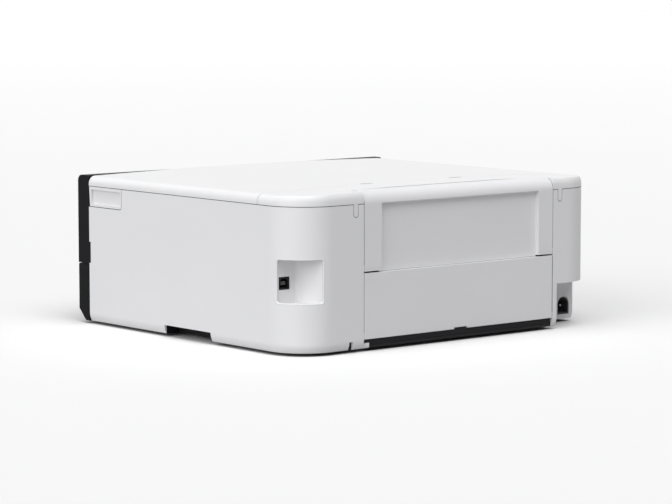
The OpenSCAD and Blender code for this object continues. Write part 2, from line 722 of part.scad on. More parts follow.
// Side outline of the control panel in Y and Z
module panel_outline(i = 0) {
    z0 = front_split_z + seam / 2 + i;
    z1 = panel_top - i;
    y0 = front_y + i;
    y1 = white_y - fit;
    r = panel_top_r - i;
    difference() {
        union() {
            translate([y0, z0]) square([y1 - y0, z1 - r - z0]);
            translate([y0 + r, z0]) square([panel_axis_y - y0 - r, z1 - z0]);
            translate([y0 + r, z1 - r]) circle(r = r);
            translate([panel_axis_y, panel_axis_z]) circle(r = panel_hinge_r - i);
        }
        translate([panel_axis_y, panel_axis_z]) difference() {
            square([30, 30]);
            circle(r = panel_hinge_r - i);
        }
    }
}

module control_panel() color("#161617") {
    difference() {
        union() {
            along_x(-half_w + 0.2, half_w - 0.2) panel_outline();
            // small ears that show in the notches of the side covers
            for (s = [-1, 1]) box([s > 0 ? half_w - 2.4 : -half_w + 0.2, white_y - 1, front_split_z + 1.6],
                [s > 0 ? half_w - 0.2 : -half_w + 2.4, white_y + 1.8, front_split_z + 20.4]);
        }
        difference() {
            along_x(-half_w + 2.4, half_w - 2.4) {
                panel_outline(1.45);
                translate([white_y - fit - 9, front_split_z + 2])
                    square([14, panel_axis_z - front_split_z - 2]);
            }
            box([-half_w, front_y - 1, 40], [half_w, front_y + 2.6, 160]);
            // lugs that hold the hinge pins
            for (s = [-1, 1], o = [-1, 1])
                box([s * panel_arm_x + o * 7 - 2.6, panel_axis_y - 3, panel_axis_z - 4],
                [s * panel_arm_x + o * 7 + 2.6, panel_axis_y + 2.6, 160]);
        }
        // display window and button holes
        box([-display_w / 2, front_y - 1, panel_z - display_h / 2],
            [display_w / 2, front_y + 1.2, panel_z + display_h / 2]);
        for (x = button_x) rod_y(front_y - 1, front_y + 4, x, panel_z, 11.6);
    }
    for (s = [-1, 1]) rod_x(s * panel_arm_x - 5, s * panel_arm_x + 5, panel_axis_y, panel_axis_z, 2.4);
}

module panel_board() color("#2d6b3a") {
    box([button_x[0] - 15, front_y + 5.6, panel_z - 17], [button_x[3] + 26, front_y + 7.2, panel_z + 17]);
    for (x = [-100, 20, 90]) box([x, front_y + 2.6, panel_z + 13],
        [x + 4, front_y + 5.6 + eps, panel_z + 16]);
}

module display() color("#0c0d12")
    box([-display_w / 2 + 0.2, front_y + 0.2, panel_z - display_h / 2 + 0.2],
        [display_w / 2 - 0.2, front_y + 1.2, panel_z + display_h / 2 - 0.2]);

// Round push button with a stem that reaches the board's switch
module push_button(i) {
    rod_y(front_y + 0.3, front_y + 3.2, button_x[i], panel_z, 11.2);
    rod_y(front_y + 3.1, front_y + 4.3, button_x[i], panel_z, 13.6);
}
module power_button() color("#3c3c40") push_button(0);
module home_button() color("#3c3c40") push_button(1);
module ok_button() color("#3c3c40") push_button(2);
module stop_button() color("#3c3c40") push_button(3);

// ---- paper trays ----

module cassette_front() color("#161617") difference() {
    along_x(-half_w + 0.2, half_w - 0.2)
        polygon([[front_y, 13.5], [front_y + 11, 2.6],
            [white_y - fit, 2.6], [white_y - fit, front_split_z - seam / 2],
            [front_y + 1, front_split_z - seam / 2], [front_y, front_split_z - seam / 2 - 1]]);
    along_x(-half_w + 2.6, half_w - 2.6)
        polygon([[front_y + 2.6, 14.6], [front_y + 12, 5.2],
            [white_y + 1, 5.2], [white_y + 1, front_split_z - 3],
            [front_y + 2.6, front_split_z - 3]]);
}

module cassette_tray() color("#2b2b2e") difference() {
    x = cassette_x;
    y1 = cassette_y1;
    box([-x, white_y - fit - 3, cassette_z], [x, y1, cassette_top]);
    difference() {
        box([-x + 2.5, white_y - fit, cassette_z + 2.5], [x - 2.5, y1 - 12, cassette_top + 1]);
        box([-x, -40, cassette_z], [x, -36, cassette_z + 4]);
        // seats of the lift plate's pin
        for (s = [-1, 1]) box([s * (lift_x + 5) - 2, lift_y - 4, cassette_z],
            [s * (lift_x + 5) + 2, lift_y + 4, cassette_z + 6.6]);
    }
    rod_x(-lift_x - 8, lift_x + 8, lift_y, cassette_z + 4.4, 2 + 2 * pin_fit);
    along_x(-x + 2.5, x - 2.5) polygon([[y1 - 12 - eps, cassette_z + 4], [y1 - 2.5, cassette_top - 1],
        [y1 - 2.5, cassette_top + 1], [y1 - 12 - eps, cassette_top + 1]]);
}

// Edge guide in the cassette, sliding across it
module cassette_guide(s) {
    x = s * (sheet_w / 2 + 1);
    box([x - (s > 0 ? 0 : 2), -70, cassette_z + 4 + fit], [x + (s > 0 ? 2 : 0), 40, cassette_top - 8]);
    box([x - (s > 0 ? 22 : 2), -45, cassette_z + 4 + fit], [x + (s > 0 ? 2 : 22), -30, cassette_z + 6]);
}

module cassette_guide_left() color("#4a4a4e") cassette_guide(-1);
module cassette_guide_right() color("#4a4a4e") cassette_guide(1);

// Spring-loaded plate that lifts the paper to the pickup roller
module lift_plate() color("#9a9ca0") {
    box([-lift_x, lift_y - 1, cassette_z + 3.8], [lift_x, feed_y + 56, cassette_z + 5]);
    rod_x(-lift_x - 7, lift_x + 7, lift_y, cassette_z + 4.4, 2);
}

module output_tray() color("#2f2f32") {
    difference() {
        box([-tray_x, tray_y0, tray_z], [tray_x, tray_y0 + tray_l, tray_z + tray_t]);
        box([-20, tray_y0 - 1, tray_z - 1], [20, tray_y0 + 6, tray_z + tray_t + 1]);
    }
    for (x = [-90:30:90]) box([x - 1, tray_y0 + 12, tray_z + tray_t - eps],
        [x + 1, tray_y0 + tray_l - 8, tray_z + tray_t + 1.3]);
}

// ---- mechanism ----

module main_frame() color("#b4b6ba") difference() {
    union() {
        for (s = [-1, 1]) {
            plate_x(s, 0, frame_t, frame_y0, frame_y1, frame_z0, frame_z1);
            plate_x(s, 0, 22, feed_y - 142, frame_y1 - 8, frame_z0, frame_z0 + 2);
            // arm and ear of the lid's and the scanner's hinge line
            box([s * hinge_x - ear_w / 2, cross_y, frame_z1 - 6],
                [s * hinge_x + ear_w / 2, hinge_y + 2.2, frame_z1]);
            box([s * hinge_x - ear_w / 2, hinge_y - 2.2, frame_z1 - 5],
                [s * hinge_x + ear_w / 2, hinge_y + 2.2, hinge_z]);
            rod_x(s * hinge_x - ear_w / 2, s * hinge_x + ear_w / 2, hinge_y, hinge_z, 4.4);
        }
        // cross rails
        box([-frame_x - eps, cross_y, frame_z1 - 20], [frame_x + eps, cross_y + 2, frame_z1]);
        box([-frame_x - eps, cross_y - 8, frame_z1 - 1.5], [frame_x + eps, cross_y + 2, frame_z1]);
        box([-frame_x - eps, frame_y0, frame_z1 - 10], [frame_x + eps, frame_y0 + 2, frame_z1]);
        // arms of the pinch rollers
        for (x = [-67.5:45:67.5]) box([x - 2, pinch_y - 1.8, pinch_z - 2],
            [x + 2, cross_y + eps, platen_z + 18]);
        // posts of the logic board
        for (y = [feed_y - 92, feed_y + 18], z = [frame_z0 + 10, frame_z1 - 10])
            rod_x(frame_x + eps, board_x, y, z, 6);
        // axle of the idler gear and bracket of the idler pulley
        rod_x(gear_x0 - 0.6, -frame_x, idler_y, roller_z, 5);
        box([belt_x - 6, belt_y + 3, belt_z - 4], [frame_x + eps, belt_y + 5, belt_z + 4]);
        rod_y(belt_y - 2.5, belt_y + 3.1, belt_x, belt_z, 3);
    }
    for (s = [-1, 1]) {
        rod_x(s * hinge_x - 5, s * hinge_x + 5, hinge_y, hinge_z, hinge_pin_d + 2 * pin_fit);
        for (p = [[feed_y, roller_z], [exit_y, roller_z], [pick_y, pick_z]])
            rod_x(s * frame_x - 4, s * frame_x + 4, p[0], p[1], shaft_d + 2 * pin_fit);
        for (y = seat_y) rod_z(frame_z0 - 2, frame_z0 + 4, s * (frame_x + 11), y, 3.2);
    }
    rod_x(-frame_x - 4, -frame_x + 1, motor_y, motor_z, 5);
    rod_x(-80, 80, pinch_y, pinch_z, pinch_pin + 2 * pin_fit);
}

// Sheet standing off the frame's inner face by u0 to u1, at side s
module plate_x(s, u0, u1, y0, y1, z0, z1) {
    box([s > 0 ? frame_x + u0 : -frame_x - u1, y0, z0], [s > 0 ? frame_x + u1 : -frame_x - u0, y1, z1]);
}

module carriage_rail() color("#c9c9cd") {
    rod_x(-frame_x, frame_x, rail_y, rail_z, rail_d);
    for (s = [-1, 1]) box([s > 0 ? frame_x - 3 : -frame_x, rail_y + 3, rail_z + 1.4],
        [s > 0 ? frame_x : -frame_x + 3, cross_y, rail_z + 3.5]);
}

module carriage() color("#242427") difference() {
    x0 = carriage_x - carriage_w / 2;
    x1 = carriage_x + carriage_w / 2;
    union() {
        box([x0, carriage_y0, carriage_z0 + 4], [x1, carriage_y1, rail_z + 2]);
        box([x0 + 6, carriage_y1 - eps, rail_z - 7], [x1 - 8, rail_y + 6, rail_z + 5.5]);
        // jaws beside the upper run of the belt
        for (y = [carriage_y1, belt_y + 2.3]) box([x0 + 18, y, rail_z - 9.5],
            [x0 + 30, y + 2.4, rail_z - 7 + eps]);
    }
    box([x0 + 3, carriage_y0 + 3, carriage_z0 + 8], [x1 - 3, carriage_y1 - 3, rail_z + 3]);
    rod_x(x0 - 1, x1 + 1, rail_y, rail_z, rail_d + 2 * pin_fit);
    box([head_x - head_w / 2 + 1, carriage_y0 + 11, carriage_z0 + 3],
        [head_x + head_w / 2 - 1, carriage_y1 - 11, carriage_z0 + 9]);
}

module print_head() color("#6d6f74") {
    box([head_x - head_w / 2, carriage_y0 + 10, carriage_z0],
        [head_x + head_w / 2, carriage_y1 - 10, carriage_z0 + 4]);
    box([head_x - head_w / 2 + 1, carriage_y0 + 11, carriage_z0 + 3.9],
        [head_x + head_w / 2 - 1, carriage_y1 - 11, carriage_z0 + 8]);
}

// Ink cartridge number i, with an outlet and a latch lever
module cartridge(i) {
    x0 = carriage_x - carriage_w / 2 + 3.6 + i * 13.2;
    box([x0, carriage_y0 + 4, carriage_z0 + 8], [x0 + cartridge_w, carriage_y1 - 3.4, rail_z]);
    box([x0 + 3, carriage_y0 + 5, rail_z - eps], [x0 + cartridge_w - 3, carriage_y0 + 16, rail_z + 5]);
}

module ink_cyan() color("#00a0d8") cartridge(0);
module ink_magenta() color("#d8127d") cartridge(1);
module ink_yellow() color("#f2d21b") cartridge(2);
module ink_black() color("#18181a") cartridge(3);

module carriage_belt() color("#1b1b1c") translate([0, 0, belt_z])
    along_y(belt_y - belt_w / 2, belt_y + belt_w / 2)
    difference() {
        belt_loop(belt_r + belt_t);
        belt_loop(belt_r);
    }

module belt_loop(r) {
    for (s = [-1, 1]) translate([s * belt_x, 0]) circle(r = r);
    translate([-belt_x, -r]) square([2 * belt_x, 2 * r]);
}

module motor_pulley() color("#d0d0d4") {
    rod_y(belt_y - 1.9, belt_y + 1.9, -belt_x, belt_z, 2 * belt_r - 0.1);
    rod_y(belt_y - 2.5, belt_y + 11, -belt_x, belt_z, 2.4);
}

module idler_pulley() color("#d0d0d4") difference() {
    rod_y(belt_y - 1.9, belt_y + 1.9, belt_x, belt_z, 2 * belt_r - 0.1);
    rod_y(belt_y - 3, belt_y + 3, belt_x, belt_z, 3 + 2 * pin_fit);
}

module carriage_motor() color("#8d8f94") difference() {
    rod_y(belt_y + 4, cross_y, -belt_x, belt_z, 20);
    rod_y(belt_y + 3, belt_y + 12, -belt_x, belt_z, 2.4 + 2 * pin_fit);
}

module encoder_strip() color([0.8, 0.8, 0.82, 0.6])
    box([-frame_x, rail_y + 8.6, rail_z - 4], [frame_x, rail_y + 9, rail_z + 1]);

module platen() color("#222225") {
    box([-frame_x, exit_y + 8, platen_z - platen_t], [frame_x - 42, feed_y - 8, platen_z - 2]);
    for (x = [-frame_x + 45:15:frame_x - 45]) box([x - 0.8, exit_y + 10, platen_z - 2 - eps],
        [x + 0.8, feed_y - 10, platen_z]);
}

// Driven shaft between the frame's sides, with rubber sleeves and a gear at its left end
module driven_shaft(y, z, sleeve_d, sleeve_w, places, teeth, turn) {
    rod_x(gear_x0 - 1.6, frame_x + frame_t + 2, y, z, shaft_d);
    for (x = places) rod_x(x - sleeve_w, x + sleeve_w, y, z, sleeve_d);
    gear_x(teeth, gear_x0, gear_x1, y, z, shaft_d - 0.2, turn);
}

module feed_roller() color("#75777c")
    driven_shaft(feed_y, roller_z, feed_roller_d, 12, [-90:45:90], teeth_feed, 0);

module exit_roller() color("#5b5d61")
    driven_shaft(exit_y, roller_z, feed_roller_d - 1, 5, [-90:45:90], teeth_feed, 0);

module pickup_roller() color("#77797d")
    driven_shaft(pick_y, pick_z, pick_d, 7, [-22, 22], teeth_pick, 1.667);

module idler_gear() color("#dcdce0")
    gear_x(teeth_idler, gear_x0, gear_x1, idler_y, roller_z, 5 + 2 * pin_fit, 180 / teeth_idler);

module motor_gear() color("#c8b273") {
    gear_x(teeth_motor, gear_x0, gear_x1, motor_y, motor_z, 2.9, 16.25);
    rod_x(gear_x0 - 0.6, -frame_x + motor_l - 3, motor_y, motor_z, 3);
}

module feed_motor() color("#8d8f94") difference() {
    rod_x(-frame_x, -frame_x + motor_l, motor_y, motor_z, 24);
    rod_x(-frame_x - 1, -frame_x + motor_l - 2, motor_y, motor_z, 3 + 2 * pin_fit);
}

module pinch_rollers() color("#3b3b3e") {
    for (x = [-90:45:90]) rod_x(x - 8, x + 8, pinch_y, pinch_z, pinch_d);
    rod_x(-98, 98, pinch_y, pinch_z, pinch_pin);
}

module maintenance_unit() color("#303033") difference() {
    box([frame_x - 42, exit_y + 14, platen_z - 22], [frame_x, feed_y - 10, platen_z]);
    box([head_x - head_w / 2 - 1, exit_y + 18, platen_z - 6],
        [head_x + head_w / 2 + 1, feed_y - 14, platen_z + 1]);
}

module cap_pad() color("#515156")
    box([head_x - head_w / 2, exit_y + 19, platen_z - 6], [head_x + head_w / 2, feed_y - 15, platen_z + 1]);

module waste_pad() color("#f4f2ec")
    box([cassette_x + 6, feed_y - 112, floor_z], [frame_x - 3, feed_y - 12, floor_z + 16]);

// Inner guide that turns the sheet from the cassette to the feed roller
module paper_guide() color("#2a2a2c") along_x(-frame_x, frame_x) difference() {
    guide_outline(cross_y + 4, 17);
    guide_outline(cross_y + 3, 15);
}

// Flat top that runs into a quarter round at its rear end
module guide_outline(y0, r) {
    y = feed_y + 60;
    z = platen_z - 16.5;
    translate([y0, z - (17 - r)]) square([y - y0, 17]);
    translate([y, z]) intersection() {
        circle(r = r, $fn = 96);
        translate([0, r - 17]) square([r + 1, 2 * r]);
    }
}

module logic_board() color("#2d6b3a") {
    box([board_x, feed_y - 132, frame_z0 + 4], [board_x + 1.4, feed_y + 44, frame_z1 - 4]);
    for (p = [[-112, 24, 18], [-72, 34, 24], [-12, 20, 14], [14, 44, 12]])
        box([board_x - 3, feed_y + p[0], frame_z0 + p[1]],
            [board_x + eps, feed_y + p[0] + p[2], frame_z0 + p[1] + p[2]]);
}

module power_supply() color("#9a9ca0")
    box([-half_w + wall + 2, feed_y - 6, frame_z0 + 2], [gear_x0 - 2, frame_y1, frame_z0 + 32]);

module usb_socket() color("#101012")
    box([usb_x - usb_w / 2, usb_y - 22, usb_z - usb_h / 2],
        [usb_x + usb_w / 2, usb_y - 0.5, usb_z + usb_h / 2]);

module power_inlet() color("#101012")
    along_y(inlet_y - 16, inlet_y - 0.4) d_shape(-0.05);

base();
rubber_feet();
right_cover();
left_cover();
rear_top_cover();
document_lid();
lid_pad();
hinge_pins();
scanner_frame();
scanner_bottom();
scanner_glass();
scan_carriage();
scan_rod();
feed_cover();
feed_guide_left();
feed_guide_right();
duct_cover();
front_frame();
control_panel();
panel_board();
display();
power_button();
home_button();
ok_button();
stop_button();
cassette_front();
cassette_tray();
cassette_guide_left();
cassette_guide_right();
lift_plate();
output_tray();
main_frame();
carriage_rail();
carriage();
print_head();
ink_cyan();
ink_magenta();
ink_yellow();
ink_black();
carriage_belt();
carriage_motor();
motor_pulley();
idler_pulley();
encoder_strip();
platen();
feed_roller();
exit_roller();
idler_gear();
motor_gear();
feed_motor();
pinch_rollers();
maintenance_unit();
cap_pad();
waste_pad();
pickup_roller();
paper_guide();
logic_board();
power_supply();
usb_socket();
power_inlet();
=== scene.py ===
import json
import math

import bmesh
import bpy
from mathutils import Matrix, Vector


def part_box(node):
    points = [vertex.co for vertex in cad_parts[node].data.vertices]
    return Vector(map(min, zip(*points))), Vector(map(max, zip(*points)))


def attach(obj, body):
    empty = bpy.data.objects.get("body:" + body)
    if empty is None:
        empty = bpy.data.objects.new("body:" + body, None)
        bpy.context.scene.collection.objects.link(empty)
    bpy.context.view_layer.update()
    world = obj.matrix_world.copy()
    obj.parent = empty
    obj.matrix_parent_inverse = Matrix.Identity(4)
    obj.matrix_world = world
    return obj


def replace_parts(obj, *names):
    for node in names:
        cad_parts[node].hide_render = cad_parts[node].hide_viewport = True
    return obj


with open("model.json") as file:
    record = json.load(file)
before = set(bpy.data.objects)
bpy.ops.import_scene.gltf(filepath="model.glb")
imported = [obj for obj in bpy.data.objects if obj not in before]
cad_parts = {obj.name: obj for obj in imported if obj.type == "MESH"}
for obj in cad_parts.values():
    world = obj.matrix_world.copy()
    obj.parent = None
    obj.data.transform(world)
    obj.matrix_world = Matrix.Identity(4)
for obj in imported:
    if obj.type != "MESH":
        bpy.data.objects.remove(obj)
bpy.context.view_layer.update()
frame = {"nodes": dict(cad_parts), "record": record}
NODES = frame["nodes"]
MM = 0.001      # in metres; sizes and places below are in millimetres unless they say otherwise


# ---------------------------------------------------------------- materials

MOTTLE_SCALE = 14.0                         # noise of the slow drift in colour and roughness
GRAIN_DEPTH, BRUSH_DEPTH = 0.0004, 0.0002   # metres
BRUSH_LONG, BRUSH_FINE = 20.0, 1500.0       # noise along and across the drawn lines


def new_material(name):
    """An empty node material with its output, and a helper that adds nodes."""
    mat = bpy.data.materials.new(name)
    mat.use_nodes = True
    tree = mat.node_tree
    tree.nodes.clear()
    out = tree.nodes.new("ShaderNodeOutputMaterial")

    def add(kind, **inputs):
        node = tree.nodes.new(kind)
        for key, value in inputs.items():
            node.inputs[key.replace("_", " ")].default_value = value
        return node

    return mat, tree, out, add


def bumped(tree, add, noise, bsdf, strength, depth):
    """Relief from a noise."""
    relief = add("ShaderNodeBump", Strength=strength, Distance=depth)
    tree.links.new(noise.outputs["Fac"], relief.inputs["Height"])
    tree.links.new(relief.outputs["Normal"], bsdf.inputs["Normal"])


def roughened(tree, add, noise, bsdf, low, high):
    """Roughness that follows a noise between two levels."""
    level = add("ShaderNodeMapRange", To_Min=low, To_Max=high)
    tree.links.new(noise.outputs["Fac"], level.inputs["Value"])
    tree.links.new(level.outputs["Result"], bsdf.inputs["Roughness"])


def mottled(tree, add, noise, bsdf, colour, amount):
    """Base colour that follows a noise between two close tones."""
    ramp = add("ShaderNodeValToRGB")
    for stop, place, gain in zip(ramp.color_ramp.elements, (0.3, 0.7), (1 - amount, 1 + amount)):
        stop.position = place
        stop.color = tuple(min(1.0, c * gain) for c in colour) + (1.0,)
    tree.links.new(noise.outputs["Fac"], ramp.inputs["Fac"])
    tree.links.new(ramp.outputs["Color"], bsdf.inputs["Base Color"])


def grained(name, colour, rough, grain, bump, spread, amount, **looks):
    """Surface with a fine grain and a slow mottle; looks are further inputs of its shader."""
    mat, tree, out, add = new_material(name)
    bsdf = add("ShaderNodeBsdfPrincipled", **looks)
    coords = add("ShaderNodeTexCoord")
    fine = add("ShaderNodeTexNoise", Scale=grain, Detail=3.0, Roughness=0.6)
    wide = add("ShaderNodeTexNoise", Scale=MOTTLE_SCALE, Detail=4.0)
    for noise in (fine, wide):
        tree.links.new(coords.outputs["Object"], noise.inputs["Vector"])
    bumped(tree, add, fine, bsdf, bump, GRAIN_DEPTH)
    roughened(tree, add, wide, bsdf, rough - spread, rough + spread)
    mottled(tree, add, wide, bsdf, colour, amount)
    tree.links.new(bsdf.outputs["BSDF"], out.inputs["Surface"])
    return mat


def plastic(name, colour, rough=0.5, grain=1800.0, bump=0.12, spread=0.05, amount=0.012,
            coat=0.0, shine=0.5):
    """Moulded plastic or rubber."""
    return grained(name, colour, rough, grain, bump, spread, amount,
                   Specular_IOR_Level=shine, Coat_Weight=coat, Coat_Roughness=0.08)


def clear(name, colour, rough, alpha):
    """Glass or clear film."""
    return grained(name, colour, rough, grain=300.0, bump=0.01, spread=0.02, amount=0.02, Alpha=alpha)


def felt(name, colour):
    """Soft fibrous pad."""
    return grained(name, colour, rough=0.85, grain=900.0, bump=0.6, spread=0.06, amount=0.05,
                   Sheen_Weight=0.3)


def brushed(name, colour, rough, along):
    """Metal with fine drawn lines along one axis."""
    mat, tree, out, add = new_material(name)
    bsdf = add("ShaderNodeBsdfPrincipled", Metallic=1.0)
    coords = add("ShaderNodeTexCoord")
    scale = [BRUSH_LONG if axis == along else BRUSH_FINE for axis in "XYZ"]
    stretch = add("ShaderNodeMapping", Scale=scale)
    lines = add("ShaderNodeTexNoise", Scale=1.0, Detail=2.0)
    tree.links.new(coords.outputs["Object"], stretch.inputs["Vector"])
    tree.links.new(stretch.outputs["Vector"], lines.inputs["Vector"])
    bumped(tree, add, lines, bsdf, 0.15, BRUSH_DEPTH)
    roughened(tree, add, lines, bsdf, rough - 0.08, rough + 0.1)
    mottled(tree, add, lines, bsdf, colour, 0.04)
    tree.links.new(bsdf.outputs["BSDF"], out.inputs["Surface"])
    return mat


MATERIALS = {
    "cover_white": plastic("cover_white", (0.80, 0.80, 0.815), rough=0.5, bump=0.16),
    "lid_white": plastic("lid_white", (0.80, 0.80, 0.81), rough=0.42, bump=0.1),
    "black_front": plastic("black_front", (0.006, 0.006, 0.007), rough=0.45, bump=0.08, shine=0.06),
    "black_inner": plastic("black_inner", (0.008, 0.008, 0.009), rough=0.6, bump=0.25, shine=0.2),
    "dark_inner": plastic("dark_inner", (0.04, 0.04, 0.044), rough=0.55, bump=0.25),
    "rubber": plastic("rubber", (0.02, 0.02, 0.021), rough=0.8, grain=1200, bump=0.4),
    "foam": felt("foam", (0.85, 0.85, 0.84)),
    "glass": clear("glass", (0.75, 0.85, 0.84), 0.06, 0.3),
    "steel": brushed("steel", (0.62, 0.62, 0.64), 0.25, "X"),
    "sheet_steel": brushed("sheet_steel", (0.5, 0.51, 0.53), 0.4, "Y"),
    "motor_can": brushed("motor_can", (0.42, 0.43, 0.45), 0.35, "X"),
    "brass": brushed("brass", (0.62, 0.45, 0.2), 0.3, "X"),
    "gear_white": plastic("gear_white", (0.72, 0.72, 0.74), rough=0.35, bump=0.05),
    "roller": plastic("roller", (0.06, 0.06, 0.065), rough=0.75, grain=2500, bump=0.4),
    "belt": plastic("belt", (0.012, 0.012, 0.012), rough=0.7, grain=1500, bump=0.5),
    "strip": clear("strip", (0.7, 0.7, 0.73), 0.15, 0.6),
    "board": plastic("board", (0.02, 0.12, 0.04), rough=0.3, grain=500, bump=0.2, amount=0.15),
    "screen": plastic("screen", (0.004, 0.005, 0.007), rough=0.08, bump=0.01, spread=0.02, coat=0.5),
    "keys": plastic("keys", (0.05, 0.05, 0.054), rough=0.4, bump=0.08),
    "pad": felt("pad", (0.75, 0.72, 0.66)),
    "ink_cyan": plastic("ink_cyan", (0.0, 0.22, 0.5), rough=0.35),
    "ink_magenta": plastic("ink_magenta", (0.5, 0.01, 0.12), rough=0.35),
    "ink_yellow": plastic("ink_yellow", (0.8, 0.5, 0.01), rough=0.35),
    "ink_black": plastic("ink_black", (0.01, 0.01, 0.011), rough=0.35),
}

for part in frame["record"]["subparts"]:
    slots = NODES[part["node"]].data.materials
    if not slots:
        slots.append(None)
    for i in range(len(slots)):
        slots[i] = MATERIALS[part["material_slot"]]


# ---------------------------------------------------------------- softened edges of the mouldings

SHARP_EDGE = math.radians(35)               # steeper edges are rounded
SHARP_PIECE_EDGE = math.radians(28)         # the same on the added pieces
EDGE_RADIUS = {                             # millimetres
    "right_cover": 0.6, "left_cover": 0.6, "rear_top_cover": 0.4, "document_lid": 0.4, "feed_cover": 0.4,
    "duct_cover": 0.35, "control_panel": 0.5, "cassette_front": 0.6, "scanner_frame": 0.35,
}


def soften(node, radius):
    """Rounds a moulding's sharp edges with modifiers alone."""
    obj = NODES[node]
    weld = obj.modifiers.new("weld", "WELD")
    weld.merge_threshold = 0.01 * MM
    bevel = obj.modifiers.new("round", "BEVEL")
    bevel.width = radius * MM
    bevel.segments = 2
    bevel.limit_method = "ANGLE"
    bevel.angle_limit = SHARP_EDGE
    bevel.use_clamp_overlap = True
    normals = obj.modifiers.new("shade", "WEIGHTED_NORMAL")
    normals.weight = 80
    normals.keep_sharp = False


for node_name, edge in EDGE_RADIUS.items():
    soften(node_name, edge)


# ---------------------------------------------------------------- shapes for the added pieces

def finish_piece(name, bm, slot_name, body, rounding=0.0):
    """Makes an object of a bmesh, in a record slot's material, riding on a body."""
    bmesh.ops.recalc_face_normals(bm, faces=bm.faces)
    for face in bm.faces:
        face.smooth = True
    mesh = bpy.data.meshes.new(name)
    bm.to_mesh(mesh)
    bm.free()
    mesh.materials.append(MATERIALS[slot_name])
    obj = bpy.data.objects.new(name, mesh)
    bpy.context.scene.collection.objects.link(obj)
    if rounding:
        bevel = obj.modifiers.new("round", "BEVEL")
        bevel.width = rounding * MM
        bevel.segments = 3
        bevel.limit_method = "ANGLE"
        bevel.angle_limit = SHARP_PIECE_EDGE
        bevel.harden_normals = True
    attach(obj, body)
    return obj


def ring(bm, points):
    """Vertices at points in metres."""
    return [bm.verts.new(p) for p in points]


def bridge(bm, a, b):
    """Closes the strip between two rings of as many points."""
    for i in range(len(a)):
        j = (i + 1) % len(a)
        bm.faces.new((a[i], a[j], b[j], b[i]))


def sweep(bm, rings):
    """Closes the strips between rings in a row, and both ends."""
    for a, b in zip(rings, rings[1:]):
        bridge(bm, a, b)
    bm.faces.new(rings[0])
    bm.faces.new(rings[-1])


def upright(outline, y, centre):
    """Points of an outline drawn in X and Z, in millimetres, at a depth y."""
    return [(centre[0] + x * MM, y, centre[1] + z * MM) for x, z in outline]


def slab(bm, outline, low, high, centre, axis="Y"):
    """Prism over an outline in millimetres about a centre, between two heights in metres along an axis."""
    def place(x, z, h):
        if axis == "Y":
            return centre[0] + x * MM, h, centre[1] + z * MM
        return centre[0] + x * MM, centre[1] + z * MM, h
    sweep(bm, [ring(bm, [place(x, z, h) for x, z in outline]) for h in (low, high)])


def arc(centre, radius, start, end, steps=12):
    """Points of an arc, between two angles in degrees."""
    angles = [math.radians(start + (end - start) * i / steps) for i in range(steps + 1)]
    return [(centre[0] + radius * math.cos(a), centre[1] + radius * math.sin(a)) for a in angles]


def round_rect(width, height, radius, steps=5):
    """Rectangle about the origin with round corners."""
    points = []
    for k, (sx, sy) in enumerate(((1, 1), (-1, 1), (-1, -1), (1, -1))):
        cx, cy = sx * (width / 2 - radius), sy * (height / 2 - radius)
        for i in range(steps + 1):
            a = math.pi / 2 * (k + i / steps)
            points.append((cx + radius * math.cos(a), cy + radius * math.sin(a)))
    return points


def well(bm, outer, inner, centre, front, floor, back):
    """Block with a cavity: a rim between two outlines, walls down to a floor, and a closed back."""
    rim_out = ring(bm, upright(outer, front, centre))
    rim_in = ring(bm, upright(inner, front, centre))
    bottom = ring(bm, upright(inner, floor, centre))
    rear = ring(bm, upright(outer, back, centre))
    bridge(bm, rim_out, rim_in)
    bridge(bm, rim_in, bottom)
    bridge(bm, rim_out, rear)
    bm.faces.new(bottom)
    bm.faces.new(rear)


def facing(node):
    """A node seen from behind: its middle, width and height in millimetres, inner and outer face."""
    low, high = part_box(node)
    centre = ((low[0] + high[0]) / 2, (low[2] + high[2]) / 2)
    return centre, (high[0] - low[0]) / MM, (high[2] - low[2]) / MM, low[1], high[1]


# ---------------------------------------------------------------- sockets at the rear corners

USB_DEPTH = 9.0
USB_SHELL_CUT = 0.9                        # cut of the shell's upper corners
USB_CAVITY = (8.6, 7.9, 1.9)               # width, height and cut of the corners
USB_TONGUE = (5.4, 3.0, 0.4)               # width, height and round
USB_TONGUE_END = 1.2                       # behind the socket's face
USB_CONTACT = (1.2, 0.2, 0.08)             # width, height and round
USB_CONTACT_X, USB_CONTACT_Z = 1.25, 1.58  # from the tongue's middle
USB_CONTACT_END = 2.2
INLET_DEPTH = 12.5
INLET_ROUND = 7
INLET_WALL = 1.1
PIN_R = 1.2
PIN_X, PIN_DROP = 3.3, 0.8                 # of each pin from the inlet's middle
PIN_END = 6
PIN_SIDES = 16


def keyed(width, height, cut):
    """Square outline with its two upper corners cut, as on a square USB port."""
    w, h = width / 2, height / 2
    return [(-w, -h), (w, -h), (w, h - cut), (w - cut, h), (-w + cut, h), (-w, h - cut)]


def usb_port():
    """Square socket with a hollow shell, a tongue and four contacts."""
    centre, width, height, back, front = facing("usb_socket")
    floor = front - USB_DEPTH * MM
    bm = bmesh.new()
    well(bm, keyed(width, height, USB_SHELL_CUT), keyed(*USB_CAVITY), centre, front, floor, back)
    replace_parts(finish_piece("usb_port_shell", bm, "black_inner", "base", 0.35), "usb_socket")
    bm = bmesh.new()
    slab(bm, round_rect(*USB_TONGUE, 3), floor, front - USB_TONGUE_END * MM, centre)
    finish_piece("usb_port_tongue", bm, "dark_inner", "base", 0.2)
    bm = bmesh.new()
    for sx in (-USB_CONTACT_X, USB_CONTACT_X):
        for sz in (-USB_CONTACT_Z, USB_CONTACT_Z):
            spot = (centre[0] + sx * MM, centre[1] + sz * MM)
            slab(bm, round_rect(*USB_CONTACT, 2), floor, front - USB_CONTACT_END * MM, spot)
    finish_piece("usb_port_contacts", bm, "brass", "base")


